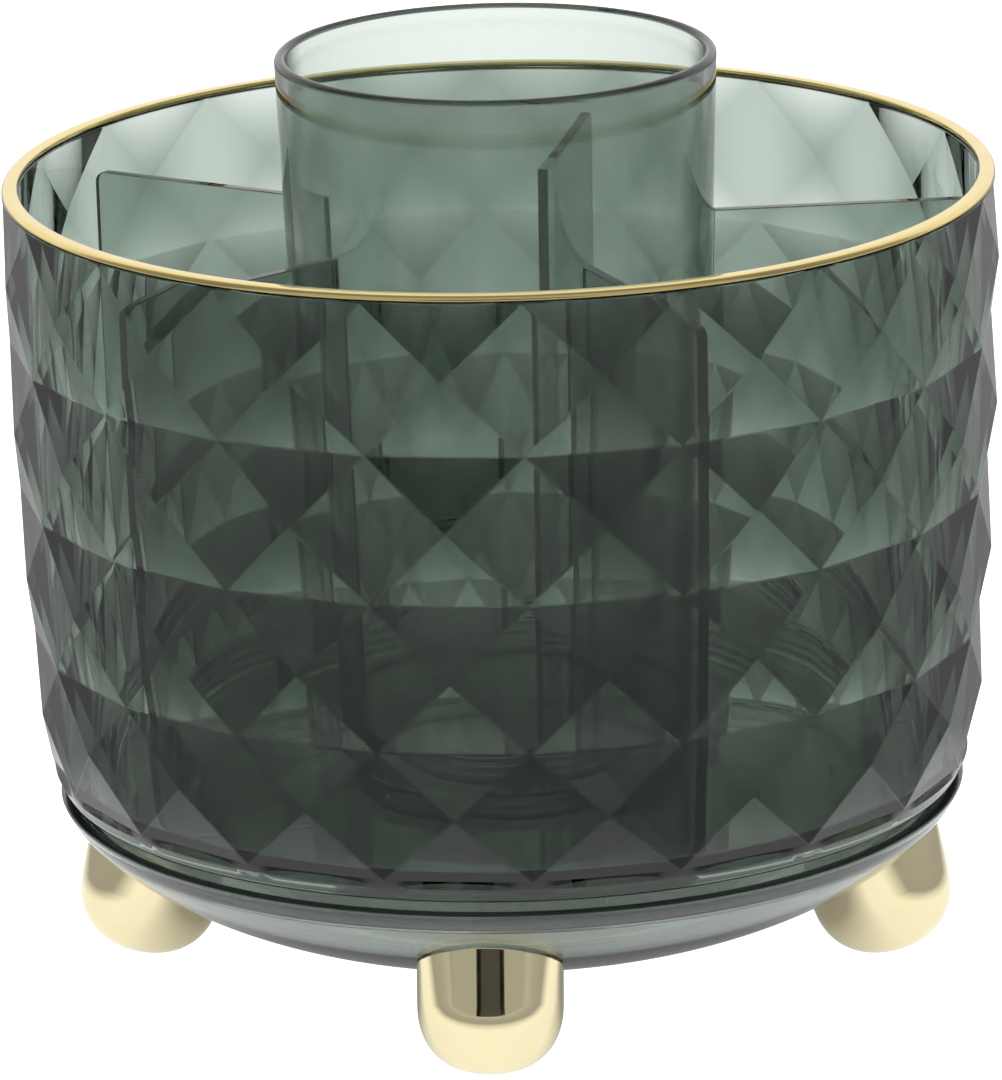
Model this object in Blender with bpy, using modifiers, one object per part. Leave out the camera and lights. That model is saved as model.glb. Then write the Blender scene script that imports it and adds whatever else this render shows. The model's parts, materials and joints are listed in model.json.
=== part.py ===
"""Rotating desktop organizer: a faceted round tub with five dividers and a centre cup, turning on a
ball race above a shallow bowl that stands on four plated bullet feet.

Units are metres, +Z is up, and the origin is on the floor under the turning axis.
The side seen from the front is -Y. Run with: blender --background --python part.py
"""
import math

import bmesh
import bpy
from mathutils import Matrix, Vector

MM = 0.001
GAP = 0.3 * MM                  # clearance between pieces that touch

# Tub: smooth inside, rows of shallow square pyramids outside
RIM_TOP = 130.1 * MM            # top of the gold rim
WALL_TOP = 129.0 * MM           # top of the tub's own wall
WALL_TOP_RADIUS = 79.0 * MM
FACET_COLUMNS = 20
FACET_PHASE = math.radians(263.2)    # direction of the apex nearest the front
FACET_TOP = 128.6 * MM
FACET_PITCH = 24.0 * MM
FACET_BOTTOM = 35.4 * MM        # the lowest row is cut short here
FACET_ROWS = 4
FACET_RISE = 1.9 * MM           # apex above the flat of its base
FACET_TOP_RADIUS = 78.8 * MM    # at the corners of the top row
TUB_TAPER = 4.4 * MM            # how far the corners have drawn in at the bottom
TAPER_POWER = 2.3
WALL = 1.4 * MM                 # least thickness, between the pyramids
TUB_BOTTOM = 31.6 * MM
SKIRT_RADIUS = 73.0 * MM
SKIRT_INSIDE = 70.0 * MM
FLOOR_UNDER = 33.9 * MM
FLOOR_TOP = 36.2 * MM
FLOOR_FILLET = 1.5 * MM
STEPS_PER_COLUMN = 3

# Gold rim
RIM_INSIDE = 76.5 * MM
RIM_OUTSIDE = 79.0 * MM
RIM_UNDER = WALL_TOP + GAP
RIM_ROUND = 0.3 * MM

# Centre cup
CUP_TOP = 149.7 * MM
CUP_TOP_RADIUS = 35.1 * MM
CUP_FOOT_RADIUS = 31.3 * MM
CUP_WALL = 1.9 * MM
CUP_FLOOR_UNDER = 40.2 * MM
CUP_FLOOR_TOP = 42.2 * MM

# Dividers
DIVIDERS = 5
DIVIDER_FIRST = math.radians(5.3)
DIVIDER_THICKNESS = 1.8 * MM
DIVIDER_TOP = 122.2 * MM
DIVIDER_CORNER = 1.8 * MM
DIVIDER_STEPS = 8

# Base bowl: a quarter superellipse turned about the axis, with a flat underneath
BOWL_RADIUS = 73.1 * MM
BOWL_LIP = 29.8 * MM
BOWL_DEPTH = 21.1 * MM
BOWL_FLAT = 35.0 * MM
BOWL_SHAPE = 1.463
BOWL_WALL = 2.0 * MM
BOWL_STEPS = 9

# Cover that closes the bowl and carries the race
COVER_RADIUS = 70.7 * MM
COVER_UNDER = 26.9 * MM
COVER_TOP = 28.8 * MM
POST_RADIUS = 6.0 * MM
POST_TOP = 36.0 * MM
POST_CLEARANCE = 0.4 * MM

# Ball race
BALLS = 12
BALL_RADIUS = 1.5 * MM
BALL_CIRCLE = 25.2 * MM
BALL_HEIGHT = 31.35 * MM
RACE_HALF_WIDTH = 2.8 * MM
GROOVE_RADIUS = BALL_RADIUS + GAP
LOWER_RACE_TOP = 30.6 * MM
UPPER_RACE_UNDER = 32.1 * MM
CAGE_HALF_WIDTH = 2.5 * MM
CAGE_HALF_HEIGHT = 0.4 * MM

# Washer and pin that keep the tub on its post
WASHER_RADIUS = 9.5 * MM
WASHER_THICKNESS = 0.8 * MM
PIVOT_SHANK = 1.6 * MM
PIVOT_HEAD_RADIUS = 4.0 * MM
PIVOT_HEAD_HEIGHT = 1.8 * MM
PIVOT_LENGTH = 9.0 * MM

# Feet
FEET = 4
FOOT_FIRST = math.radians(265.94)    # direction of the front foot
FOOT_RADIUS = 11.5 * MM
FOOT_CIRCLE = 59.3 * MM         # centre of the round end
FOOT_SPLAY = math.radians(12.4)
FOOT_FLAT = 0.35 * MM           # the round end is flattened this much to stand on
FOOT_STEM = 22.0 * MM

SMOKE = (0.18, 0.26, 0.22, 1.0)
GOLD = (0.86, 0.66, 0.28, 1.0)
CLEAR = (0.90, 0.93, 0.92, 1.0)


def clear_scene():
    for item in list(bpy.data.objects):
        bpy.data.objects.remove(item, do_unlink=True)


def collection(name):
    group = bpy.data.collections.new(name)
    bpy.context.scene.collection.children.link(group)
    return group


def material(name, color, metallic, roughness, transmission=0.0):
    made = bpy.data.materials.new(name)
    made.use_nodes = True
    shader = made.node_tree.nodes["Principled BSDF"]
    shader.inputs["Base Color"].default_value = color
    shader.inputs["Metallic"].default_value = metallic
    shader.inputs["Roughness"].default_value = roughness
    shader.inputs["Transmission Weight"].default_value = transmission
    return made


def add_object(name, mesh, group, look=None):
    made = bpy.data.objects.new(name, mesh)
    group.objects.link(made)
    if look is not None:
        mesh.materials.append(look)
    return made


def smooth(item, angle=30.0):
    item.data.shade_smooth()
    item.data.set_sharp_from_angle(angle=math.radians(angle))


def arc(centre_x, centre_z, radius, start, end, steps):
    """Points of a round stretch of a profile, angles in degrees from +X towards +Z."""
    points = []
    for i in range(steps + 1):
        angle = math.radians(start + (end - start) * i / steps)
        points.append((centre_x + radius * math.cos(angle), centre_z + radius * math.sin(angle)))
    return points


def turned(name, profile, group, look=None, segments=48, closed=True):
    """Turn a profile of (radius, height) points, which runs down its outer side, about Z.

    An open profile starts and ends on the axis.
    """
    mesh = bpy.data.meshes.new(name)
    vertices = [(x, 0.0, z) for x, z in profile]
    edges = [(i, i + 1) for i in range(len(profile) - 1)]
    if closed:
        edges.append((len(profile) - 1, 0))
    mesh.from_pydata(vertices, edges, [])
    made = add_object(name, mesh, group, look)
    screw = made.modifiers.new("Turn", "SCREW")
    screw.axis = "Z"
    screw.steps = segments
    screw.render_steps = segments
    screw.use_merge_vertices = True
    screw.merge_threshold = 0.00001
    screw.use_smooth_shade = False
    return made


def cylinder(name, radius, length, group, look=None, segments=12):
    """A cylinder whose lower face is at its origin."""
    mesh = bpy.data.meshes.new(name)
    shape = bmesh.new()
    bmesh.ops.create_cone(shape, cap_ends=True, segments=segments, radius1=radius, radius2=radius,
                          depth=length, matrix=Matrix.Translation((0, 0, length / 2)))
    shape.to_mesh(mesh)
    shape.free()
    return add_object(name, mesh, group, look)


def cut(item, tool):
    boolean = item.modifiers.new("Cut", "BOOLEAN")
    boolean.operation = "DIFFERENCE"
    boolean.solver = "EXACT"
    boolean.object = tool
    tool.hide_render = True
    tool.display_type = "WIRE"


def corner_radius(z):
    """Radius of the tub's pyramid corners at a height."""
    depth = max(0.0, (FACET_TOP - z) / (FACET_TOP - FACET_BOTTOM))
    return FACET_TOP_RADIUS - TUB_TAPER * depth ** TAPER_POWER


def flat_radius(z):
    """Radius of the middle of a pyramid's base at a height."""
    return corner_radius(z) * math.cos(math.pi / FACET_COLUMNS)


def inside_radius(z):
    """Radius of the tub's smooth inner wall at a height."""
    return flat_radius(z) - WALL


def cup_radius(z):
    share = (z - FLOOR_TOP) / (CUP_TOP - FLOOR_TOP)
    return CUP_FOOT_RADIUS + (CUP_TOP_RADIUS - CUP_FOOT_RADIUS) * share


def bowl_profile(grow):
    """The bowl's side from its lip to the edge of its flat, moved outward by grow."""
    points = []
    for i in range(BOWL_STEPS + 1):
        turn = math.pi / 2 * i / BOWL_STEPS
        across = max(0.0, math.cos(turn)) ** (2 / BOWL_SHAPE)
        down = math.sin(turn) ** (2 / BOWL_SHAPE)
        radius = BOWL_FLAT + (BOWL_RADIUS + grow - BOWL_FLAT) * across
        points.append((radius, BOWL_LIP - (BOWL_DEPTH + grow) * down))
    return points


def ring(shape, radius_at, z):
    """One ring of the tub's mesh; radius_at takes the step within a column."""
    made = []
    steps = FACET_COLUMNS * STEPS_PER_COLUMN
    for i in range(steps):
        angle = FACET_PHASE - math.pi / FACET_COLUMNS + 2 * math.pi * i / steps
        radius = radius_at(i % STEPS_PER_COLUMN)
        made.append(shape.verts.new((radius * math.cos(angle), radius * math.sin(angle), z)))
    return made


def bridge(shape, above, below):
    """Faces between two rings, pointing outward where the first ring is the upper one."""
    count = len(above)
    for i in range(count):
        j = (i + 1) % count
        shape.faces.new((above[i], below[i], below[j], above[j]))


def chord_ring(shape, z):
    """A ring that runs straight from corner to corner of the pyramids."""
    flat = flat_radius(z)
    half = math.pi / FACET_COLUMNS

    def radius_at(step):
        offset = -half + 2 * half * step / STEPS_PER_COLUMN
        return flat / math.cos(offset)

    return ring(shape, radius_at, z)


def round_ring(shape, radius, z):
    return ring(shape, lambda step: radius, z)


def pyramid_row(shape, above, below, z):
    """One row of pyramids between two chord rings."""
    radius = flat_radius(z) + FACET_RISE
    count = len(above)
    for column in range(FACET_COLUMNS):
        angle = FACET_PHASE + 2 * math.pi * column / FACET_COLUMNS
        apex = shape.verts.new((radius * math.cos(angle), radius * math.sin(angle), z))
        first = column * STEPS_PER_COLUMN
        last = (first + STEPS_PER_COLUMN) % count
        for i in range(first, first + STEPS_PER_COLUMN):
            j = (i + 1) % count
            shape.faces.new((apex, above[j], above[i]))
            shape.faces.new((apex, below[i], below[j]))
        shape.faces.new((apex, above[first], below[first]))
        shape.faces.new((apex, below[last], above[last]))


def make_tub(group, look):
    """The faceted wall and the floor, moulded as one piece with a hole for the pivot."""
    shape = bmesh.new()
    top = round_ring(shape, WALL_TOP_RADIUS, WALL_TOP)
    above = chord_ring(shape, FACET_TOP)
    bridge(shape, top, above)
    for row in range(FACET_ROWS):
        high = FACET_TOP - row * FACET_PITCH
        low = max(FACET_BOTTOM, high - FACET_PITCH)
        below = chord_ring(shape, low)
        pyramid_row(shape, above, below, (high + low) / 2)
        above = below
    bore = POST_RADIUS + POST_CLEARANCE
    fillet_top = FLOOR_TOP + FLOOR_FILLET
    fillet = inside_radius(fillet_top) - FLOOR_FILLET
    round_part = [
        (SKIRT_RADIUS + 0.8 * MM, TUB_BOTTOM + 1.6 * MM),
        (SKIRT_RADIUS + 0.2 * MM, TUB_BOTTOM + 0.4 * MM),
        (SKIRT_RADIUS - 0.4 * MM, TUB_BOTTOM),
        (SKIRT_INSIDE, TUB_BOTTOM),
        (SKIRT_INSIDE, FLOOR_UNDER),
        (bore, FLOOR_UNDER),
        (bore, FLOOR_TOP),
    ]
    round_part += arc(fillet, fillet_top, FLOOR_FILLET, -90, 0, 3)
    for row in range(FACET_ROWS - 1, 0, -1):
        z = FACET_TOP - row * FACET_PITCH
        round_part.append((inside_radius(z), z))
    round_part.append((inside_radius(WALL_TOP), WALL_TOP))
    for radius, z in round_part:
        below = round_ring(shape, radius, z)
        bridge(shape, above, below)
        above = below
    bridge(shape, above, top)
    bmesh.ops.recalc_face_normals(shape, faces=shape.faces)
    mesh = bpy.data.meshes.new("tub_shell")
    shape.to_mesh(mesh)
    shape.free()
    return add_object("tub_shell", mesh, group, look)


def make_rim(group, look):
    low = RIM_UNDER
    high = RIM_TOP
    profile = arc(RIM_OUTSIDE - RIM_ROUND, high - RIM_ROUND, RIM_ROUND, 90, 0, 1)
    profile += [(RIM_OUTSIDE, low), (RIM_INSIDE, low)]
    profile += arc(RIM_INSIDE + RIM_ROUND, high - RIM_ROUND, RIM_ROUND, 180, 90, 1)
    turned("gold_rim", profile, group, look, segments=60)


def make_cup(group, look):
    """The centre cup: a tapered tube with a rounded lip and a floor above the pivot pin."""
    foot = FLOOR_TOP + GAP
    lip = CUP_WALL / 2
    lip_centre = CUP_TOP_RADIUS - lip
    profile = arc(lip_centre, CUP_TOP - lip, lip, 90, 0, 3)
    profile += [(cup_radius(foot), foot), (cup_radius(foot) - CUP_WALL, foot)]
    profile += [(cup_radius(CUP_FLOOR_UNDER) - CUP_WALL, CUP_FLOOR_UNDER), (0.0, CUP_FLOOR_UNDER)]
    inner = [(0.0, CUP_FLOOR_TOP), (cup_radius(CUP_FLOOR_TOP) - CUP_WALL, CUP_FLOOR_TOP)]
    inner += arc(lip_centre, CUP_TOP - lip, lip, 180, 120, 2)
    turned("centre_cup", inner + profile, group, look, segments=48, closed=False)


def make_dividers(group, look):
    """Flat panels from the cup to the wall, each standing on the tub's floor."""
    foot = FLOOR_TOP + GAP
    fillet_top = FLOOR_TOP + FLOOR_FILLET + GAP
    outer_top = inside_radius(DIVIDER_TOP) - GAP
    outline = [(cup_radius(foot) + GAP, foot), (inside_radius(foot) - FLOOR_FILLET - GAP, foot)]
    for i in range(DIVIDER_STEPS):
        z = fillet_top + (DIVIDER_TOP - DIVIDER_CORNER - fillet_top) * i / DIVIDER_STEPS
        outline.append((inside_radius(z) - GAP, z))
    outline += arc(outer_top - DIVIDER_CORNER, DIVIDER_TOP - DIVIDER_CORNER, DIVIDER_CORNER, 0, 90, 4)
    outline.append((cup_radius(DIVIDER_TOP) + GAP, DIVIDER_TOP))
    for number in range(DIVIDERS):
        name = f"divider_{number + 1}"
        curve = bpy.data.curves.new(name, "CURVE")
        curve.dimensions = "2D"
        curve.fill_mode = "BOTH"
        curve.extrude = DIVIDER_THICKNESS / 2
        spline = curve.splines.new("POLY")
        spline.points.add(len(outline) - 1)
        spline.use_cyclic_u = True
        for point, (x, y) in zip(spline.points, outline):
            point.co = (x, y, 0.0, 1.0)
        curve.materials.append(look)
        panel = bpy.data.objects.new(name, curve)
        group.objects.link(panel)
        azimuth = DIVIDER_FIRST + 2 * math.pi * number / DIVIDERS
        panel.matrix_world = Matrix.Rotation(azimuth, 4, "Z") @ Matrix.Rotation(math.pi / 2, 4, "X")


def make_bowl(group, look):
    """The base: an open bowl with a lip and a ledge for its cover."""
    outside = bowl_profile(0.0)
    inside = [point for point in bowl_profile(-BOWL_WALL) if point[1] < COVER_UNDER - GAP]
    ledge = BOWL_RADIUS - BOWL_WALL
    profile = [(0.0, BOWL_LIP - BOWL_DEPTH + BOWL_WALL)]
    profile += inside[::-1]
    profile += [(inside[0][0], COVER_UNDER - GAP), (ledge, COVER_UNDER - GAP)]
    profile += [(ledge, BOWL_LIP)]
    profile += outside
    profile += [(0.0, BOWL_LIP - BOWL_DEPTH)]
    turned("base_bowl", profile, group, look, segments=60, closed=False)


def make_cover(group, look):
    """The plate inside the bowl's lip, with the post that the tub turns on."""
    bore = PIVOT_SHANK + GAP
    profile = [
        (POST_RADIUS, POST_TOP),
        (POST_RADIUS, COVER_TOP),
        (COVER_RADIUS, COVER_TOP),
        (COVER_RADIUS, COVER_UNDER),
        (bore, COVER_UNDER),
        (bore, POST_TOP),
    ]
    turned("base_cover", profile, group, look, segments=48)


def make_races(group, look):
    """Two grooved rings; the balls run between them."""
    outer = BALL_CIRCLE + RACE_HALF_WIDTH
    inner = BALL_CIRCLE - RACE_HALF_WIDTH
    low = COVER_TOP + GAP
    high = FLOOR_UNDER - GAP
    dip = math.degrees(math.asin((BALL_HEIGHT - LOWER_RACE_TOP) / GROOVE_RADIUS))
    lower = [(outer, LOWER_RACE_TOP), (outer, low), (inner, low), (inner, LOWER_RACE_TOP)]
    lower += arc(BALL_CIRCLE, BALL_HEIGHT, GROOVE_RADIUS, -180 + dip, -dip, 4)
    turned("lower_race", lower, group, look, segments=36)
    rise = math.degrees(math.asin((UPPER_RACE_UNDER - BALL_HEIGHT) / GROOVE_RADIUS))
    upper = [(outer, high), (outer, UPPER_RACE_UNDER)]
    upper += arc(BALL_CIRCLE, BALL_HEIGHT, GROOVE_RADIUS, rise, 180 - rise, 4)
    upper += [(inner, UPPER_RACE_UNDER), (inner, high)]
    turned("upper_race", upper, group, look, segments=36)


def make_cage(group, tools, cage_look, ball_look):
    """The ring that keeps the balls apart, and the balls."""
    outer = BALL_CIRCLE + CAGE_HALF_WIDTH
    inner = BALL_CIRCLE - CAGE_HALF_WIDTH
    low = BALL_HEIGHT - CAGE_HALF_HEIGHT
    high = BALL_HEIGHT + CAGE_HALF_HEIGHT
    profile = [(outer, high), (outer, low), (inner, low), (inner, high)]
    cage = turned("ball_cage", profile, group, cage_look, segments=36)
    for number in range(BALLS):
        angle = 2 * math.pi * (number + 0.5) / BALLS
        x = BALL_CIRCLE * math.cos(angle)
        y = BALL_CIRCLE * math.sin(angle)
        pocket = cylinder(f"ball_pocket_{number + 1}", GROOVE_RADIUS, 4 * MM, tools, segments=12)
        pocket.location = (x, y, BALL_HEIGHT - 2 * MM)
        cut(cage, pocket)
        mesh = bpy.data.meshes.new(f"ball_{number + 1}")
        shape = bmesh.new()
        bmesh.ops.create_uvsphere(shape, u_segments=10, v_segments=6, radius=BALL_RADIUS)
        shape.to_mesh(mesh)
        shape.free()
        ball = add_object(f"ball_{number + 1}", mesh, group, ball_look)
        ball.location = (x, y, BALL_HEIGHT)
        smooth(ball, 60)


def make_pivot(group, look):
    """The washer and the pressed-in pin that keep the tub on its post."""
    low = FLOOR_TOP + GAP
    high = low + WASHER_THICKNESS
    bore = PIVOT_SHANK + GAP
    washer = [(WASHER_RADIUS, high), (WASHER_RADIUS, low), (bore, low), (bore, high)]
    turned("pivot_washer", washer, group, look, segments=32)
    seat = high + GAP
    pin = [
        (0.0, seat + PIVOT_HEAD_HEIGHT),
        (PIVOT_HEAD_RADIUS * 0.7, seat + PIVOT_HEAD_HEIGHT),
        (PIVOT_HEAD_RADIUS, seat + PIVOT_HEAD_HEIGHT * 0.4),
        (PIVOT_HEAD_RADIUS, seat),
        (PIVOT_SHANK, seat),
        (PIVOT_SHANK, seat - PIVOT_LENGTH),
        (0.0, seat - PIVOT_LENGTH - PIVOT_SHANK),
    ]
    turned("pivot_pin", pin, group, look, segments=24, closed=False)


def foot_frame(number):
    """A foot's own frame: origin at the centre of its round end, +Z up its stem."""
    azimuth = FOOT_FIRST + 2 * math.pi * number / FEET
    place = Matrix.Rotation(azimuth, 4, "Z") @ Matrix.Translation((FOOT_CIRCLE, 0, FOOT_RADIUS - FOOT_FLAT))
    return place @ Matrix.Rotation(-FOOT_SPLAY, 4, "Y")


def make_feet(group, tools, gold):
    """Bullet feet, cut to the bowl's underside, to which they are bonded."""
    reach = [(0.0, BOWL_LIP + 20 * MM), (BOWL_RADIUS + GAP, BOWL_LIP + 20 * MM)]
    reach += bowl_profile(GAP)
    reach.append((0.0, BOWL_LIP - BOWL_DEPTH - GAP))
    bowl_space = turned("bowl_space", reach, tools, segments=60, closed=False)
    bullet = [(0.0, FOOT_STEM), (FOOT_RADIUS, FOOT_STEM)] + arc(0, 0, FOOT_RADIUS, 0, -90, 6)
    bullet[-1] = (0.0, -FOOT_RADIUS)
    for number in range(FEET):
        frame = foot_frame(number)
        foot = turned(f"foot_{number + 1}", bullet, group, gold, segments=24, closed=False)
        foot.matrix_world = frame
        cut(foot, bowl_space)
        ground = cylinder(f"ground_{number + 1}", 2 * FOOT_RADIUS, 10 * MM, tools)
        ground.location = frame.translation.xy.to_3d() - Vector((0, 0, 10 * MM))
        cut(foot, ground)


def main():
    clear_scene()
    parts = collection("rotating_organizer")
    tools = collection("cutters")
    smoke = material("smoked_plastic", SMOKE, 0.0, 0.05, 0.8)
    gold = material("gold_plating", GOLD, 1.0, 0.12)
    clear = material("clear_balls", CLEAR, 0.0, 0.05, 0.9)
    make_tub(parts, smoke)
    make_rim(parts, gold)
    make_cup(parts, smoke)
    make_dividers(parts, smoke)
    make_bowl(parts, smoke)
    make_cover(parts, smoke)
    make_races(parts, smoke)
    make_cage(parts, tools, smoke, clear)
    make_pivot(parts, smoke)
    make_feet(parts, tools, gold)


main()
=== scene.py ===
"""Looks of the rotating desktop organizer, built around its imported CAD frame.

Lengths are in metres, +Z is up and the front is -Y, as in the frame. The sizes of the tub, cup,
dividers, base and feet repeat the CAD source, and other places come from the frame's boxes. Small
roundings and the fuller ends of the feet are these finer pieces' own.
"""
import functools
import json
import math

import bmesh
import bpy
from mathutils import Matrix, Vector


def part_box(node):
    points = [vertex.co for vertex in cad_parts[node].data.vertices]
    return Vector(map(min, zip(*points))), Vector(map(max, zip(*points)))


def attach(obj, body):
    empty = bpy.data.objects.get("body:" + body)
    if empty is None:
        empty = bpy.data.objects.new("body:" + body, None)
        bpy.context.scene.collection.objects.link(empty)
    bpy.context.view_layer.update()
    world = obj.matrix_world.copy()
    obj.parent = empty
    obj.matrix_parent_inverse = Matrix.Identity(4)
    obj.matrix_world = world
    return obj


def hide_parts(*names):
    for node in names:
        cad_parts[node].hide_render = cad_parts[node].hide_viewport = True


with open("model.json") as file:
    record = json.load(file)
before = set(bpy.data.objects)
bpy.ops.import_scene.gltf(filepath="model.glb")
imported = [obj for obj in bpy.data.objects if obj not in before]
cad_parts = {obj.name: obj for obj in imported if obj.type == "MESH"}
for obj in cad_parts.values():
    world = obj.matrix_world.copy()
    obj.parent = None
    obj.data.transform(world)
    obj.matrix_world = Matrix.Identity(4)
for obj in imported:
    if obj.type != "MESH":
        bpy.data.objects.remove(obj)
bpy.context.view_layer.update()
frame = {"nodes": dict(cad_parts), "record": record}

MM = 0.001
GAP = 0.3 * MM                      # clearance that the CAD keeps between neighbours

# Camera: fitted to the photograph's viewing angle
CAMERA_PLACE = Vector((0.0, -1.3497, 0.4614))
CAMERA_TURN = math.radians(0.038)
CAMERA_PITCH = math.radians(16.216)
CAMERA_ROLL = math.radians(-1.353)
CAMERA_LENS = 290.9                 # mm
CAMERA_SENSOR = 36.0                # mm, along its long side

# Tub: smooth inside, rows of shallow square pyramids outside
FACET_COLUMNS = 20
FACET_PHASE = math.radians(263.2)   # the middle of the first column
CORNER_PHASE = FACET_PHASE - math.pi / FACET_COLUMNS
FACET_TOP = 128.6 * MM
FACET_PITCH = 24.0 * MM
FACET_BOTTOM = 35.4 * MM
FACET_ROWS = 4
FACET_RISE = 1.9 * MM
FACET_TOP_RADIUS = 78.8 * MM
TUB_TAPER = 4.4 * MM
TAPER_POWER = 2.3
WALL = 1.4 * MM
TUB_BOTTOM = 31.6 * MM
SKIRT_RADIUS = 73.0 * MM
SKIRT_INSIDE = 70.0 * MM
FLOOR_UNDER = 33.9 * MM
FLOOR_TOP = 36.2 * MM
FLOOR_FILLET = 1.5 * MM
TUB_BORE = 6.4 * MM
STEPS_PER_COLUMN = 12
ON_WALL = 0.1 * MM                  # how far inside the flats a point of the outer surface may lie
ON_LEVEL = 0.01 * MM                # how far from a height a point at that height may lie
RIDGE_ROUND = 0.22 * MM             # rounding of the pyramids' ridges and valleys
EDGE_ROUND = 0.25 * MM
SKIRT_ROUND = 1.0 * MM              # rounding of the skirt's outer bottom edge
SKIRT_INSET = 0.5 * MM              # how far the wall turns in just below the lowest pyramids
SKIRT_STEP = 1.2 * MM               # the height over which it does

# Gold rim
RIM_WIDTH = 2.5 * MM
RIM_SHOULDER = 0.85 * MM
RIM_CORNER = 0.1 * MM

# Centre cup
CUP_FOOT_RADIUS = 31.3 * MM
CUP_WALL = 1.9 * MM
CUP_FLOOR_ROUND = 1.2 * MM
CUP_FLOOR_UNDER = 40.2 * MM
CUP_FLOOR_TOP = 42.2 * MM

# Dividers
DIVIDERS = 5
DIVIDER_FIRST = math.radians(5.3)
DIVIDER_THICKNESS = 1.8 * MM
DIVIDER_CORNER = 1.8 * MM
DIVIDER_EDGE = 0.2 * MM             # rounding of the panels' edges
END_FACING = 0.8                    # how squarely a face must look along the panel to be its end

# Base
BOWL_FLAT = 35.0 * MM
BOWL_SHAPE = 1.463
BOWL_WALL = 2.0 * MM
POST_RADIUS = 6.0 * MM
COVER_BORE = 1.9 * MM

# Feet
FEET = 4
FOOT_FIRST = math.radians(265.94)
FOOT_RADIUS = 11.5 * MM
FOOT_CIRCLE = 59.3 * MM
FOOT_SPLAY = math.radians(12.4)
FOOT_FLAT = 0.35 * MM
FOOT_SHAPE = 2.35                   # the round end is a little fuller than a ball
FOOT_SIDES = 96
FOOT_TOP_ROUND = 0.25 * MM
FOOT_STEM_RINGS = (0.03, 0.25, 0.5, 0.75, 0.97)     # shares of the way up to the bowl
FOOT_TOP_RINGS = (0.75, 0.5, 0.25)                  # shares of the foot's radius
STEM_SEARCH = 25 * MM               # longer than any stem, for finding where it meets the bowl
SEARCH_STEPS = 30

ROUND_SEGMENTS = FACET_COLUMNS * STEPS_PER_COLUMN
NO_RADIUS = 1e-7                    # a ring smaller than this is one point on the axis
RUN_STEPS = 6
RUN_SUPPORT = 0.25 * MM             # from the end of a straight stretch to its first ring
BEVEL_SEGMENTS = 2


# Shape helpers

@functools.cache
def box(node):
    """A CAD node's box, read once."""
    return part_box(node)


def arc(centre_x, centre_z, radius, start, end, steps):
    """Points of a round stretch of a profile, angles in degrees from +X towards +Z."""
    points = []
    for i in range(steps + 1):
        angle = math.radians(start + (end - start) * i / steps)
        points.append((centre_x + radius * math.cos(angle), centre_z + radius * math.sin(angle)))
    return points


def run(start, end):
    """Points between two profile points, the first and last close to the ends.

    Rings close to a rounded end keep the smooth shading of the straight stretch true.
    """
    first, last = Vector(start), Vector(end)
    along = (last - first).normalized() * RUN_SUPPORT
    near, far = first + along, last - along
    return [tuple(near.lerp(far, i / RUN_STEPS)) for i in range(RUN_STEPS + 1)]


def ring_of(shape, radius, z, segments, phase=0.0):
    """One ring of vertices, or the one vertex on the axis where the radius is nothing."""
    if radius < NO_RADIUS:
        return [shape.verts.new((0.0, 0.0, z))]
    made = []
    for i in range(segments):
        angle = phase + 2 * math.pi * i / segments
        made.append(shape.verts.new((radius * math.cos(angle), radius * math.sin(angle), z)))
    return made


def join_rings(shape, one, other):
    """Faces between two rings; either may be a single vertex on the axis."""
    count = max(len(one), len(other))
    for i in range(count):
        j = (i + 1) % count
        if len(one) == 1:
            shape.faces.new((one[0], other[i], other[j]))
        elif len(other) == 1:
            shape.faces.new((one[i], other[0], one[j]))
        else:
            shape.faces.new((one[i], other[i], other[j], one[j]))


def mesh_from(shape, name, sharp_angle=30.0):
    bmesh.ops.recalc_face_normals(shape, faces=shape.faces)
    mesh = bpy.data.meshes.new(name)
    shape.to_mesh(mesh)
    shape.free()
    mesh.shade_smooth()
    mesh.set_sharp_from_angle(angle=math.radians(sharp_angle))
    return mesh


def turned(name, profile):
    """A mesh turned about Z from (radius, height) points; a profile off the axis closes on itself."""
    shape = bmesh.new()
    rings = [ring_of(shape, radius, z, ROUND_SEGMENTS) for radius, z in profile]
    for one, other in zip(rings, rings[1:]):
        join_rings(shape, one, other)
    if len(rings[0]) > 1:
        join_rings(shape, rings[-1], rings[0])
    return mesh_from(shape, name)


def piece(name, mesh, look, body, slot, *nodes):
    """A finished piece that rides on a body and stands for CAD nodes."""
    made = bpy.data.objects.new(name, mesh)
    bpy.context.scene.collection.objects.link(made)
    mesh.materials.append(look)
    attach(made, body)
    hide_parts(*nodes)
    return made


def change_look(item, look, chosen):
    """A second material on the faces that the test picks."""
    item.data.materials.append(look)
    for face in item.data.polygons:
        if chosen(face):
            face.material_index = 1


def round_edges(item, width, by_weight=False):
    bevel = item.modifiers.new("Round edges", "BEVEL")
    bevel.width = width
    bevel.segments = BEVEL_SEGMENTS
    bevel.limit_method = "WEIGHT" if by_weight else "ANGLE"
    bevel.angle_limit = math.radians(40)
    bevel.harden_normals = True
    bevel.use_clamp_overlap = True


# Tub

def corner_radius(z):
    """Radius of the tub's pyramid corners at a height."""
    depth = max(0.0, (FACET_TOP - z) / (FACET_TOP - FACET_BOTTOM))
    return FACET_TOP_RADIUS - TUB_TAPER * depth ** TAPER_POWER


def flat_radius(z):
    """Radius of the middle of a pyramid's base at a height."""
    return corner_radius(z) * math.cos(math.pi / FACET_COLUMNS)


def inside_radius(z):
    """Radius of the tub's smooth inner wall at a height."""
    return flat_radius(z) - WALL


def corner_ring(shape, z):
    return ring_of(shape, corner_radius(z), z, FACET_COLUMNS, CORNER_PHASE)


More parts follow.
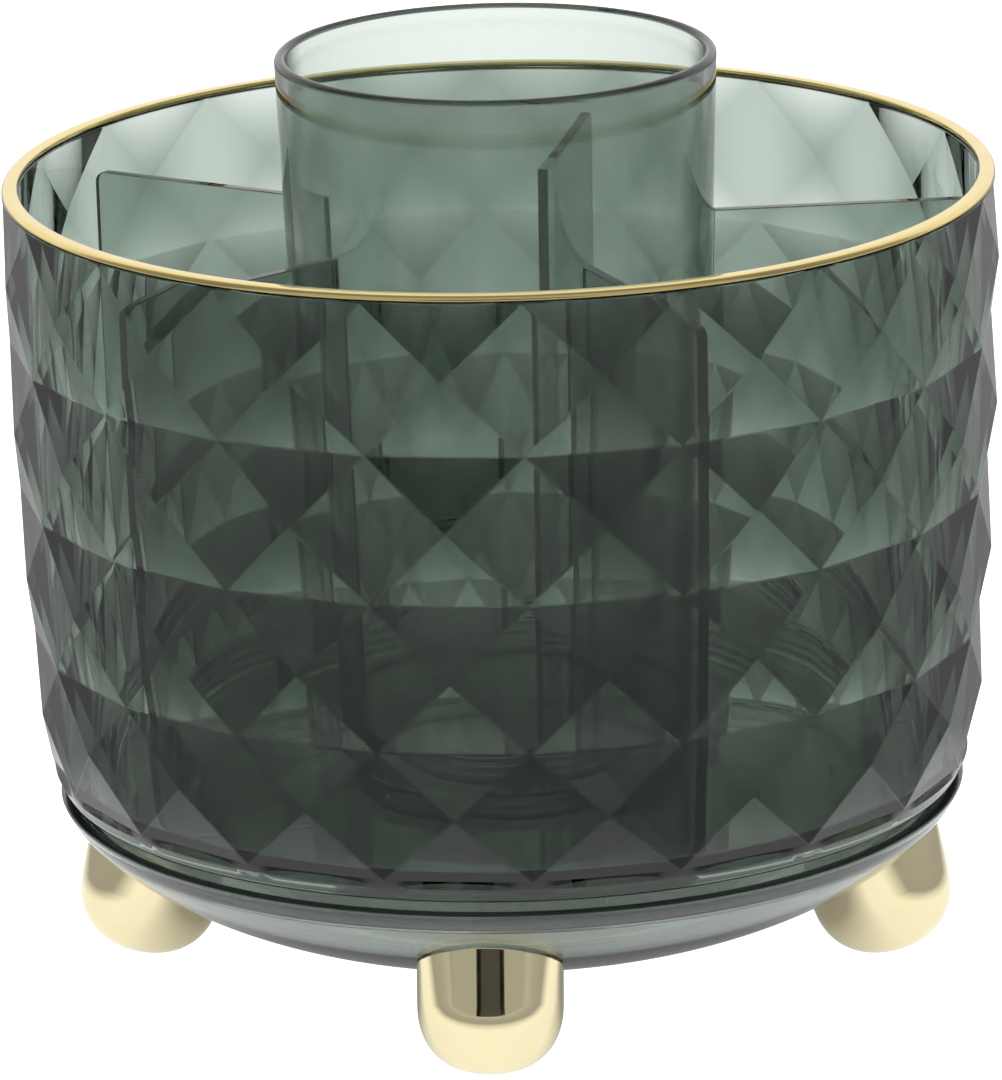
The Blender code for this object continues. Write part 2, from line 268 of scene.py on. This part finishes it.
def chord_points(shape, corners):
    """Extra vertices along each straight side of a corner ring, by column."""
    sides = []
    for i, start in enumerate(corners):
        end = corners[(i + 1) % FACET_COLUMNS]
        side = []
        for step in range(1, STEPS_PER_COLUMN):
            side.append(shape.verts.new(start.co.lerp(end.co, step / STEPS_PER_COLUMN)))
        sides.append(side)
    return sides


def all_points(corners, sides):
    """A corner ring and its extra vertices as one ring."""
    made = []
    for corner, side in zip(corners, sides):
        made += [corner] + side
    return made


def pyramid_row(shape, above, below, above_sides, below_sides):
    """One row of pyramids; returns the vertex pairs of its ridges and of its upright valleys."""
    z = (above[0].co.z + below[0].co.z) / 2
    radius = flat_radius(z) + FACET_RISE
    marked = []
    for column in range(FACET_COLUMNS):
        after = (column + 1) % FACET_COLUMNS
        angle = FACET_PHASE + 2 * math.pi * column / FACET_COLUMNS
        apex = shape.verts.new((radius * math.cos(angle), radius * math.sin(angle), z))
        top_side = above_sides[column] if above_sides else []
        low_side = below_sides[column] if below_sides else []
        shape.faces.new([apex, above[column]] + top_side + [above[after]])
        shape.faces.new([apex, below[column]] + low_side + [below[after]])
        shape.faces.new((apex, above[column], below[column]))
        shape.faces.new((apex, above[after], below[after]))
        marked += [(apex, above[column]), (apex, above[after])]
        marked += [(apex, below[column]), (apex, below[after])]
        marked.append((above[column], below[column]))
    return marked


def tub_mesh():
    """The faceted wall, the floor and the skirt, moulded in one with a hole for the pivot."""
    wall_top = box("tub_shell")[1].z
    shape = bmesh.new()
    weight = shape.edges.layers.float.new("bevel_weight_edge")
    marked = []
    above = corner_ring(shape, FACET_TOP)
    top_sides = chord_points(shape, above)
    top_ring = all_points(above, top_sides)
    above_sides = top_sides
    for row in range(FACET_ROWS):
        low = max(FACET_BOTTOM, FACET_TOP - (row + 1) * FACET_PITCH)
        below = corner_ring(shape, low)
        last = row == FACET_ROWS - 1
        below_sides = chord_points(shape, below) if last else None
        marked += pyramid_row(shape, above, below, above_sides, below_sides)
        if not last:
            marked += [(below[i], below[(i + 1) % FACET_COLUMNS]) for i in range(FACET_COLUMNS)]
        above = below
        above_sides = below_sides
    low_ring = all_points(above, above_sides)
    fillet_top = FLOOR_TOP + FLOOR_FILLET
    fillet = inside_radius(fillet_top) - FLOOR_FILLET
    profile = [(corner_radius(FACET_BOTTOM) - SKIRT_INSET, FACET_BOTTOM - SKIRT_STEP)]
    profile += arc(SKIRT_RADIUS - SKIRT_ROUND, TUB_BOTTOM + SKIRT_ROUND, SKIRT_ROUND, 0, -90, 6)
    profile += [(SKIRT_INSIDE + EDGE_ROUND, TUB_BOTTOM), (SKIRT_INSIDE, TUB_BOTTOM + EDGE_ROUND)]
    profile += [(SKIRT_INSIDE, FLOOR_UNDER), (TUB_BORE, FLOOR_UNDER), (TUB_BORE, FLOOR_TOP)]
    profile += run((TUB_BORE, FLOOR_TOP), (fillet, FLOOR_TOP))
    profile += arc(fillet, fillet_top, FLOOR_FILLET, -90, 0, 8)
    wall_steps = 24
    wall_low = fillet_top + EDGE_ROUND
    wall_high = wall_top - 2 * EDGE_ROUND
    for i in range(wall_steps + 1):
        z = wall_low + (wall_high - wall_low) * i / wall_steps
        profile.append((inside_radius(z), z))
    inside = inside_radius(wall_top)
    profile += arc(inside + EDGE_ROUND, wall_top - EDGE_ROUND, EDGE_ROUND, 180, 90, 4)
    outside = box("gold_rim")[1].x
    profile += arc(outside - EDGE_ROUND, wall_top - EDGE_ROUND, EDGE_ROUND, 90, 0, 4)
    ring = low_ring
    for radius, z in profile:
        following = ring_of(shape, radius, z, ROUND_SEGMENTS, CORNER_PHASE)
        join_rings(shape, ring, following)
        ring = following
    join_rings(shape, ring, top_ring)
    for one, other in marked:
        shape.edges.get((one, other))[weight] = 1.0
    mesh = mesh_from(shape, "tub_wall", sharp_angle=24.0)
    set_tub_sharpness(mesh)
    return mesh


def set_tub_sharpness(mesh):
    """The facets end in sharp edges above and below; the ridges that the bevel rounds aren't sharp."""
    weights = mesh.attributes["bevel_weight_edge"].data
    for edge, weight in zip(mesh.edges, weights):
        if weight.value > 0:
            edge.use_edge_sharp = False
        ends = [mesh.vertices[i].co for i in edge.vertices]
        for z in (FACET_TOP, FACET_BOTTOM):
            outside = all(math.hypot(p.x, p.y) > flat_radius(z) - ON_WALL for p in ends)
            if outside and all(abs(p.z - z) < ON_LEVEL for p in ends):
                edge.use_edge_sharp = True


def make_tub(look, ends):
    tub = piece("tub_wall", tub_mesh(), look, "tub", "smoked_plastic", "tub_shell")
    # Painted shade: the skirt's bottom edge is made nearly black, as shade in the gap above the bowl
    change_look(tub, ends, lambda face: face.center.z < TUB_BOTTOM + EDGE_ROUND)
    round_edges(tub, RIDGE_ROUND, by_weight=True)


def make_rim(look):
    """The gold bead: flat on top, well rounded outside, just above the wall."""
    low, high = box("gold_rim")
    outside = high.x
    inside = outside - RIM_WIDTH
    profile = arc(outside - RIM_SHOULDER, high.z - RIM_SHOULDER, RIM_SHOULDER, 90, 0, 8)
    profile += arc(outside - RIM_CORNER, low.z + RIM_CORNER, RIM_CORNER, 0, -90, 2)
    profile += arc(inside + RIM_CORNER, low.z + RIM_CORNER, RIM_CORNER, -90, -180, 2)
    profile += arc(inside + EDGE_ROUND, high.z - EDGE_ROUND, EDGE_ROUND, 180, 90, 4)
    piece("rim_bead", turned("rim_bead", profile), look, "tub", "gold_trim", "gold_rim")


# Cup and dividers

def cup_radius(z):
    high = box("centre_cup")[1]
    share = (z - FLOOR_TOP) / (high.z - FLOOR_TOP)
    return CUP_FOOT_RADIUS + (high.x - CUP_FOOT_RADIUS) * share


def make_cup(look):
    """A tapered tube with a rounded lip and a floor a little above its foot."""
    low, high = box("centre_cup")
    lip = CUP_WALL / 2
    lip_centre = high.x - lip
    foot_outer = cup_radius(low.z)
    foot_inner = foot_outer - CUP_WALL
    turn_in = cup_radius(CUP_FLOOR_TOP) - CUP_WALL - CUP_FLOOR_ROUND
    floor_arc = arc(turn_in, CUP_FLOOR_TOP + CUP_FLOOR_ROUND, CUP_FLOOR_ROUND, -90, -2, 8)
    lip_arc = arc(lip_centre, high.z - lip, lip, 180, 0, 16)
    foot_arc = arc(foot_outer - EDGE_ROUND, low.z + EDGE_ROUND, EDGE_ROUND, 0, -90, 3)
    profile = [(0.0, CUP_FLOOR_TOP)]
    profile += run((0.0, CUP_FLOOR_TOP), floor_arc[0]) + floor_arc
    profile += run(floor_arc[-1], lip_arc[0]) + lip_arc
    profile += run(lip_arc[-1], foot_arc[0]) + foot_arc
    profile += arc(foot_inner + EDGE_ROUND, low.z + EDGE_ROUND, EDGE_ROUND, -90, -180, 3)
    profile += [(cup_radius(CUP_FLOOR_UNDER) - CUP_WALL, CUP_FLOOR_UNDER), (0.0, CUP_FLOOR_UNDER)]
    piece("cup_tube", turned("cup_tube", profile), look, "tub", "smoked_plastic", "centre_cup")


def divider_mesh(name, azimuth, top):
    """A flat panel from the cup to the wall, standing on the tub's floor."""
    foot = FLOOR_TOP + GAP
    start = FLOOR_TOP + FLOOR_FILLET + GAP
    steps = 20
    outline = [(cup_radius(foot) + GAP, foot), (inside_radius(foot) - FLOOR_FILLET - GAP, foot)]
    for i in range(steps):
        z = start + (top - DIVIDER_CORNER - start) * i / steps
        outline.append((inside_radius(z) - GAP, z))
    corner = inside_radius(top) - GAP - DIVIDER_CORNER
    outline += arc(corner, top - DIVIDER_CORNER, DIVIDER_CORNER, 0, 90, 8)
    outline.append((cup_radius(top) + GAP, top))
    shape = bmesh.new()
    sides = []
    for y in (-DIVIDER_THICKNESS / 2, DIVIDER_THICKNESS / 2):
        sides.append([shape.verts.new((x, y, z)) for x, z in outline])
        shape.faces.new(sides[-1])
    join_rings(shape, sides[0], sides[1])
    bmesh.ops.rotate(shape, verts=shape.verts, matrix=Matrix.Rotation(azimuth, 3, "Z"))
    return mesh_from(shape, name, sharp_angle=40.0)


def make_dividers(look, ends):
    for number in range(DIVIDERS):
        node = f"divider_{number + 1}"
        azimuth = DIVIDER_FIRST + 2 * math.pi * number / DIVIDERS
        mesh = divider_mesh(f"panel_{number + 1}", azimuth, box(node)[1].z)
        panel = piece(f"panel_{number + 1}", mesh, look, "tub", "smoked_plastic", node)
        outward = Vector((math.cos(azimuth), math.sin(azimuth), 0.0))
        # Painted shade: the panel's ends are made nearly black
        change_look(panel, ends, lambda face: abs(face.normal.dot(outward)) > END_FACING)
        round_edges(panel, DIVIDER_EDGE)


# Base

def bowl_size():
    low, high = box("base_bowl")
    return high.x, high.z, high.z - low.z


def bowl_point(turn, grow):
    """(radius, height) on the bowl's side, moved outward by grow; turn 0 is the lip."""
    lip_radius, lip, depth = bowl_size()
    across = max(0.0, math.cos(turn)) ** (2 / BOWL_SHAPE)
    down = math.sin(turn) ** (2 / BOWL_SHAPE)
    radius = BOWL_FLAT + (lip_radius + grow - BOWL_FLAT) * across
    return radius, lip - (depth + grow) * down


def make_bowl(look, ends):
    """The shallow bowl, with a ledge inside its lip for the cover."""
    lip_radius, lip, depth = bowl_size()
    ledge_z = box("base_cover")[0].z - GAP
    steps = 48
    outside = [bowl_point(math.pi / 2 * i / steps, 0.0) for i in range(1, steps + 1)]
    inside = [bowl_point(math.pi / 2 * i / steps, -BOWL_WALL) for i in range(steps + 1)]
    inside = [point for point in inside if point[1] < ledge_z]
    ledge = lip_radius - BOWL_WALL
    profile = [(0.0, lip - depth + BOWL_WALL)]
    profile += run(profile[0], inside[-1])
    profile += inside[::-1]
    profile += [(inside[0][0], ledge_z), (ledge, ledge_z)]
    profile += arc(ledge + EDGE_ROUND, lip - EDGE_ROUND, EDGE_ROUND, 180, 90, 3)
    profile += arc(lip_radius - EDGE_ROUND, lip - EDGE_ROUND, EDGE_ROUND, 90, 0, 3)
    profile += outside
    profile += run(outside[-1], (0.0, lip - depth))
    profile.append((0.0, lip - depth))
    bowl = piece("bowl_body", turned("bowl_body", profile), look, "base", "smoked_plastic", "base_bowl")
    # Painted shade: the lip's top is made nearly black, as shade in the gap under the tub
    change_look(bowl, ends, lambda face: face.center.z > lip - EDGE_ROUND)


def make_cover(look):
    """The plate inside the bowl's lip, with the post that the tub turns on."""
    low, high = box("base_cover")
    lower_race = box("lower_race")[0].z
    plate = lower_race - GAP
    profile = arc(POST_RADIUS - EDGE_ROUND, high.z - EDGE_ROUND, EDGE_ROUND, 90, 0, 3)
    profile.append((POST_RADIUS, plate))
    profile += run(profile[-1], (high.x - EDGE_ROUND, plate))
    profile += arc(high.x - EDGE_ROUND, plate - EDGE_ROUND, EDGE_ROUND, 90, 0, 3)
    profile += arc(high.x - EDGE_ROUND, low.z + EDGE_ROUND, EDGE_ROUND, 0, -90, 3)
    profile += run((high.x - EDGE_ROUND, low.z), (COVER_BORE, low.z))
    profile += [(COVER_BORE, low.z), (COVER_BORE, high.z)]
    piece("cover_plate", turned("cover_plate", profile), look, "base", "smoked_plastic", "base_cover")


# Feet

def foot_frame(number):
    """A foot's own frame: origin at the centre of its round end, +Z up its stem."""
    azimuth = FOOT_FIRST + 2 * math.pi * number / FEET
    centre = Matrix.Translation((FOOT_CIRCLE, 0, FOOT_RADIUS - FOOT_FLAT))
    return Matrix.Rotation(azimuth, 4, "Z") @ centre @ Matrix.Rotation(-FOOT_SPLAY, 4, "Y")


def below_bowl(point):
    """True where a point lies outside the bowl by more than the gap."""
    lip_radius, lip, depth = bowl_size()
    across = max(0.0, math.hypot(point.x, point.y) - BOWL_FLAT) / (lip_radius + GAP - BOWL_FLAT)
    down = max(0.0, lip - point.z) / (depth + GAP)
    return across ** BOWL_SHAPE + down ** BOWL_SHAPE > 1


def stem_height(place, x, y):
    """How far up a foot's stem the line through (x, y) meets the bowl."""
    low, high = 0.0, STEM_SEARCH
    for _ in range(SEARCH_STEPS):
        middle = (low + high) / 2
        if below_bowl(place @ Vector((x, y, middle))):
            low = middle
        else:
            high = middle
    return low


def foot_mesh(name, number):
    """A bullet: a round end, a straight stem and a top that follows the bowl."""
    place = foot_frame(number)
    shape = bmesh.new()
    directions = []
    for i in range(FOOT_SIDES):
        angle = 2 * math.pi * i / FOOT_SIDES
        directions.append((math.cos(angle), math.sin(angle)))
    rings = [[shape.verts.new(place @ Vector((0, 0, -FOOT_RADIUS)))]]
    round_steps = 24
    for i in range(1, round_steps + 1):
        angle = math.pi / 2 * i / round_steps
        radius = FOOT_RADIUS * math.sin(angle) ** (2 / FOOT_SHAPE)
        z = -FOOT_RADIUS * math.cos(angle) ** (2 / FOOT_SHAPE) if i < round_steps else 0.0
        rings.append([shape.verts.new(place @ Vector((radius * x, radius * y, z))) for x, y in directions])
    for share in FOOT_STEM_RINGS:
        ring = []
        for x, y in directions:
            x, y = FOOT_RADIUS * x, FOOT_RADIUS * y
            ring.append(shape.verts.new(place @ Vector((x, y, share * stem_height(place, x, y)))))
        rings.append(ring)
    part_way = 0.3 * FOOT_TOP_ROUND
    for inset, drop in ((0.0, FOOT_TOP_ROUND), (part_way, part_way), (FOOT_TOP_ROUND, 0.0)):
        radius = FOOT_RADIUS - inset
        rings.append([top_vertex(shape, place, radius * x, radius * y, drop) for x, y in directions])
    for share in FOOT_TOP_RINGS:
        radius = FOOT_RADIUS * share
        rings.append([top_vertex(shape, place, radius * x, radius * y, 0.0) for x, y in directions])
    rings.append([top_vertex(shape, place, 0.0, 0.0, 0.0)])
    for one, other in zip(rings, rings[1:]):
        join_rings(shape, one, other)
    for vertex in shape.verts:
        vertex.co.z = max(vertex.co.z, 0.0)
    return mesh_from(shape, name, sharp_angle=45.0)


def top_vertex(shape, place, x, y, drop):
    return shape.verts.new(place @ Vector((x, y, stem_height(place, x, y) - drop)))


def make_feet(look):
    for number in range(FEET):
        name = f"bullet_{number + 1}"
        piece(name, foot_mesh(name, number), look, "base", "gold_feet", f"foot_{number + 1}")


# Materials

# Absorption of the smoked plastic: what one metre takes is the density times (1 - tint)
SMOKE_DENSITY = 330.0
SMOKE_TINT = (0.23, 0.34, 0.265)
TUB_SHARE = 1.6                     # the tub's density as a share of the bowl's
CUP_SHARE = 1.2
BALL_DENSITY = 20.0
BALL_TINT = (0.6, 0.7, 0.65)
STYRENE_IOR = 1.57
PLASTIC_ROUGHNESS = 0.004
BALL_ROUGHNESS = 0.02
# Painted shade: nearly black, for the panels' ends and round the gap between tub and bowl
PAINTED_SHADE_COLOR = (0.008, 0.011, 0.010, 1.0)

# Painted shade on the cup's outline: how much light the cup's colour lets through, by how nearly edge-on
# it is seen, as (facing, level)
CUP_EDGE_SHADE = ((0.0, 1.0), (0.62, 1.0), (0.78, 0.25), (0.9, 0.05), (1.0, 0.05))

TRIM_GOLD = (0.96, 0.78, 0.36)
TRIM_GOLD_DULL = (0.90, 0.70, 0.28)
FEET_GOLD = (0.93, 0.84, 0.56)
FEET_GOLD_DULL = (0.88, 0.78, 0.48)

# Noise scales, in features per metre
POLISH_SCALE = 140.0                # changes of polish on the plastic
WAVE_SCALE = 55.0                   # moulding waviness
GOLD_COLOR_SCALE = 220.0
GOLD_POLISH_SCALE = 320.0
GOLD_WAVE_SCALE = 90.0

POLISH_DETAIL = 4.0
GOLD_COLOR_DETAIL = 3.0
WAVE_DETAIL = 2.0
WAVE_STRENGTH = 0.25
GOLD_WAVE_STRENGTH = 0.3
WAVE_DEPTH = 0.02 * MM
NOISE_LOW = 0.3                     # most of a noise's values lie between these two
NOISE_HIGH = 0.7


def new_material(name):
    made = bpy.data.materials.new(name)
    made.use_nodes = True
    nodes = made.node_tree.nodes
    return made, nodes, made.node_tree.links, nodes["Principled BSDF"]


def noise(nodes, links, scale, detail):
    """Noise over the object's own coordinates, scale in features per metre."""
    place = nodes.new("ShaderNodeTexCoord")
    made = nodes.new("ShaderNodeTexNoise")
    made.inputs["Scale"].default_value = scale
    made.inputs["Detail"].default_value = detail
    links.new(place.outputs["Object"], made.inputs["Vector"])
    return made.outputs["Fac"]


def spread(nodes, links, source, low, high):
    """The source's middle range mapped to low..high."""
    made = nodes.new("ShaderNodeMapRange")
    made.inputs["From Min"].default_value = NOISE_LOW
    made.inputs["From Max"].default_value = NOISE_HIGH
    made.inputs["To Min"].default_value = low
    made.inputs["To Max"].default_value = high
    links.new(source, made.inputs["Value"])
    return made.outputs["Result"]


def ripple(nodes, links, shader, scale, strength):
    """A very shallow waviness, as moulding or plating leaves."""
    bump = nodes.new("ShaderNodeBump")
    bump.inputs["Strength"].default_value = strength
    bump.inputs["Distance"].default_value = WAVE_DEPTH
    links.new(noise(nodes, links, scale, WAVE_DETAIL), bump.inputs["Height"])
    links.new(bump.outputs["Normal"], shader.inputs["Normal"])


def uneven_polish(nodes, links, shader, scale, low, high):
    """Roughness that varies between low and high over the surface."""
    uneven = noise(nodes, links, scale, POLISH_DETAIL)
    links.new(spread(nodes, links, uneven, low, high), shader.inputs["Roughness"])


def clear_plastic(name, density, tint, roughness, rim=()):
    """Moulded clear styrene, tinted by how much of it the light passes through.

    The rim is (facing, level) steps of painted shade, by which the colour of a surface seen edge-on
    darkens and lets less light through.
    """
    made, nodes, links, shader = new_material(name)
    shader.inputs["Base Color"].default_value = (1.0, 1.0, 1.0, 1.0)
    # Painted shade: the colour darkens where the surface is seen edge-on
    if rim:
        weight = nodes.new("ShaderNodeLayerWeight")
        links.new(level_ramp(nodes, links, weight.outputs["Facing"], rim), shader.inputs["Base Color"])
    shader.inputs["Transmission Weight"].default_value = 1.0
    shader.inputs["IOR"].default_value = STYRENE_IOR
    uneven_polish(nodes, links, shader, POLISH_SCALE, low=0.0, high=roughness)
    ripple(nodes, links, shader, WAVE_SCALE, WAVE_STRENGTH)
    absorb = nodes.new("ShaderNodeVolumeAbsorption")
    absorb.inputs["Density"].default_value = density
    absorb.inputs["Color"].default_value = (*tint, 1.0)
    links.new(absorb.outputs["Volume"], nodes["Material Output"].inputs["Volume"])
    return made


def smoked(name, share, rim=()):
    """The smoke-green plastic, at a share of the bowl's density."""
    return clear_plastic(name, share * SMOKE_DENSITY, SMOKE_TINT, PLASTIC_ROUGHNESS, rim)


def painted_shade_edges():
    """Painted shade, nearly black and opaque, for the panels' ends, the tub's bottom edge and the bowl's
    lip.

    So much plastic lies behind those edges that they look darker than the absorption makes them, and the
    tub's edge and the bowl's lip lie round the shaded gap between tub and bowl; this colour paints that
    dark on.
    """
    made, nodes, links, shader = new_material("painted_shade_edges")
    shader.inputs["Base Color"].default_value = PAINTED_SHADE_COLOR
    uneven_polish(nodes, links, shader, POLISH_SCALE, low=0.05, high=0.15)
    return made


def plated(name, color, dull, low, high):
    """Bright plating with slight changes of colour, and of roughness between low and high."""
    made, nodes, links, shader = new_material(name)
    mix = nodes.new("ShaderNodeMix")
    mix.data_type = "RGBA"
    mix.inputs["A"].default_value = (*color, 1.0)
    mix.inputs["B"].default_value = (*dull, 1.0)
    links.new(noise(nodes, links, GOLD_COLOR_SCALE, GOLD_COLOR_DETAIL), mix.inputs["Factor"])
    links.new(mix.outputs["Result"], shader.inputs["Base Color"])
    shader.inputs["Metallic"].default_value = 1.0
    uneven_polish(nodes, links, shader, GOLD_POLISH_SCALE, low, high)
    ripple(nodes, links, shader, GOLD_WAVE_SCALE, GOLD_WAVE_STRENGTH)
    return made


def make_materials():
    return {
        "smoked_plastic": smoked("smoked_plastic", 1.0),
        "smoked_cup": smoked("smoked_cup", CUP_SHARE, CUP_EDGE_SHADE),
        "painted_shade_edges": painted_shade_edges(),
        "smoked_tub": smoked("smoked_tub", TUB_SHARE),
        "gold_trim": plated("gold_trim", TRIM_GOLD, TRIM_GOLD_DULL, low=0.06, high=0.14),
        "gold_feet": plated("gold_feet", FEET_GOLD, FEET_GOLD_DULL, low=0.03, high=0.08),
        "clear_balls": clear_plastic("clear_balls", BALL_DENSITY, BALL_TINT, BALL_ROUGHNESS),
    }


def dress_frame(looks):
    """Better materials on the CAD nodes that stay as they are."""
    for row in frame["record"]["subparts"]:
        node = frame["nodes"][row["node"]]
        look = looks[row["material_slot"]]
        node.data.materials.clear()
        node.data.materials.append(look)


# Stage, light and camera

def make_floor():
    shape = bmesh.new()
    bmesh.ops.create_grid(shape, x_segments=8, y_segments=8, size=FLOOR_SIZE)
    mesh = bpy.data.meshes.new("floor")
    shape.to_mesh(mesh)
    shape.free()
    floor = bpy.data.objects.new("floor", mesh)
    bpy.context.scene.collection.objects.link(floor)
    mesh.materials.append(floor_material())


FLOOR_SIZE = 4.0
FLOOR_ROUGHNESS = 0.9
FLOOR_COLOR = 0.25                  # grey of the floor's surface at level 1
FLOOR_GLOW = 1.2                    # strength of its own light at level 1

# How bright the floor is painted at a distance in metres from the object's axis, as (distance, level).
# Seen through the plastic it carries a painted shadow: half bright under the object, darkest further out
# than the object's edge and bright far from it. Mirrored by plastic and plating it is dim with a painted
# pool of light, a bright ring at the feet.
FLOOR_REACH = 0.6                   # m, beyond which the levels stay the same
FLOOR_THROUGH = ((0.0, 0.6), (0.1, 0.56), (0.14, 0.28), (0.24, 0.36), (0.36, 0.9), (0.42, 1.0))
FLOOR_MIRRORED = ((0.0, 0.2), (0.045, 0.25), (0.065, 0.68), (0.1, 0.68), (0.15, 0.24), (0.6, 0.3))


def floor_material():
    """Plain pale floor with a painted shadow and a painted pool of light round the object, by the levels
    above, and at least level 1 for the camera.
    """
    made, nodes, links, shader = new_material("pale_floor")
    shader.inputs["Roughness"].default_value = FLOOR_ROUGHNESS
    shader.inputs["Specular IOR Level"].default_value = 0.0
    shader.inputs["Emission Color"].default_value = (1.0, 1.0, 1.0, 1.0)
    place = nodes.new("ShaderNodeTexCoord")
    distance = nodes.new("ShaderNodeVectorMath")
    distance.operation = "LENGTH"
    links.new(place.outputs["Object"], distance.inputs[0])
    reach = math_node(nodes, links, "DIVIDE", distance.outputs["Value"], FLOOR_REACH)
    through = level_ramp(nodes, links, reach, [(r / FLOOR_REACH, level) for r, level in FLOOR_THROUGH])
    mirrored = level_ramp(nodes, links, reach, [(r / FLOOR_REACH, level) for r, level in FLOOR_MIRRORED])
    shown = by_ray(nodes, links, through, mirrored)
    links.new(math_node(nodes, links, "MULTIPLY", shown, FLOOR_COLOR), shader.inputs["Base Color"])
    links.new(math_node(nodes, links, "MULTIPLY", shown, FLOOR_GLOW), shader.inputs["Emission Strength"])
    return made


def by_ray(nodes, links, through, mirrored):
    """One level for mirrored rays and another for the rest, but at least 1 for the camera.

    A refracted ray counts as glossy too, so a mirrored one is glossy and not a transmission ray.
    """
    seen = nodes.new("ShaderNodeLightPath")
    outside = math_node(nodes, links, "SUBTRACT", 1.0, seen.outputs["Is Transmission Ray"])
    mirror_ray = math_node(nodes, links, "MULTIPLY", seen.outputs["Is Glossy Ray"], outside)
    mix = nodes.new("ShaderNodeMix")
    links.new(mirror_ray, mix.inputs["Factor"])
    if isinstance(through, float):
        mix.inputs["A"].default_value = through
    else:
        links.new(through, mix.inputs["A"])
    links.new(mirrored, mix.inputs["B"])
    return math_node(nodes, links, "MAXIMUM", mix.outputs["Result"], seen.outputs["Is Camera Ray"])


def level_ramp(nodes, links, source, levels):
    """A colour ramp of grey levels, each given as (position, level)."""
    ramp = nodes.new("ShaderNodeValToRGB")
    stops = ramp.color_ramp.elements
    while len(stops) < len(levels):
        stops.new(0.5)
    for stop, (position, level) in zip(stops, levels):
        stop.position = position
        stop.color = (level, level, level, 1.0)
    links.new(source, ramp.inputs["Fac"])
    return ramp.outputs["Color"]


def math_node(nodes, links, operation, one, other):
    """A Math node of two values, each a number or another node's output."""
    made = nodes.new("ShaderNodeMath")
    made.operation = operation
    for socket, value in zip(made.inputs, (one, other)):
        if isinstance(value, float):
            socket.default_value = value
        else:
            links.new(value, socket)
    return made.outputs["Value"]


LIGHT_TARGET = Vector((0.0, 0.0, 0.08))

# Soft boxes as (name, place, (width, height) in metres, watts)
LIGHTS = (
    ("soft_left", (-1.4, -0.25, 0.6), (0.8, 1.2), 5.0),
    ("soft_right", (1.4, -0.25, 0.6), (0.8, 1.2), 5.0),
    ("key", (0.0, -1.45, 0.95), (0.9, 0.6), 22.0),
)


def area_light(name, place, size, power):
    """A soft box that faces the object and shows neither in mirrored rays nor through plastic."""
    data = bpy.data.lights.new(name, "AREA")
    data.shape = "RECTANGLE"
    data.size, data.size_y = size
    data.energy = power
    light = bpy.data.objects.new(name, data)
    light.visible_glossy = False
    light.visible_transmission = False
    light.location = place
    light.rotation_mode = "QUATERNION"
    light.rotation_quaternion = (LIGHT_TARGET - Vector(place)).to_track_quat("-Z", "Y")
    bpy.context.scene.collection.objects.link(light)


# How bright the studio is in mirrored rays, by the direction's Y: dark in the middle of the front,
# where the camera stands, and darkest in a ring round that, then pale, dimmer and bright at the back
DOME = (
    (-1.0, 0.07), (-0.965, 0.07), (-0.96, 0.01), (-0.93, 0.01), (-0.925, 0.42), (-0.5, 0.42),
    (-0.42, 0.2), (0.25, 0.3), (0.5, 0.9), (1.0, 1.0),
)
SKY_THROUGH = 1.3                   # the studio's brightness in all other rays


def make_world():
    """An evenly white studio, which mirrored rays alone see with the dome's levels."""
    world = bpy.data.worlds.new("dome")
    bpy.context.scene.world = world
    world.use_nodes = True
    nodes, links = world.node_tree.nodes, world.node_tree.links
    direction = nodes.new("ShaderNodeTexCoord")
    split = nodes.new("ShaderNodeSeparateXYZ")
    links.new(direction.outputs["Generated"], split.inputs["Vector"])
    half = math_node(nodes, links, "MULTIPLY", split.outputs["Y"], 0.5)
    place = math_node(nodes, links, "ADD", half, 0.5)
    levels = level_ramp(nodes, links, place, [((y + 1) / 2, level) for y, level in DOME])
    links.new(by_ray(nodes, links, SKY_THROUGH, levels), nodes["Background"].inputs["Strength"])
    nodes["Background"].inputs["Color"].default_value = (1.0, 1.0, 1.0, 1.0)


def make_lights():
    for name, place, size, power in LIGHTS:
        area_light(name, place, size, power)


def make_camera():
    data = bpy.data.cameras.new("camera")
    data.lens = CAMERA_LENS
    data.sensor_width = CAMERA_SENSOR
    camera = bpy.data.objects.new("camera", data)
    bpy.context.scene.collection.objects.link(camera)
    turn = Matrix.Rotation(CAMERA_TURN, 4, "Z")
    tilt = Matrix.Rotation(math.pi / 2 - CAMERA_PITCH, 4, "X")
    roll = Matrix.Rotation(CAMERA_ROLL, 4, "Z")
    camera.matrix_world = Matrix.Translation(CAMERA_PLACE) @ turn @ tilt @ roll
    bpy.context.scene.camera = camera


def set_render():
    scene = bpy.context.scene
    scene.view_settings.view_transform = "Standard"
    scene.cycles.max_bounces = 32
    scene.cycles.transmission_bounces = 32
    scene.cycles.glossy_bounces = 8
    scene.cycles.diffuse_bounces = 3
    scene.cycles.use_denoising = True


looks = make_materials()
dress_frame(looks)
make_tub(looks["smoked_tub"], looks["painted_shade_edges"])
make_rim(looks["gold_trim"])
make_cup(looks["smoked_cup"])
make_dividers(looks["smoked_tub"], looks["painted_shade_edges"])
make_bowl(looks["smoked_plastic"], looks["painted_shade_edges"])
make_cover(looks["smoked_plastic"])
make_feet(looks["gold_feet"])
make_floor()
make_world()
make_lights()
make_camera()
set_render()
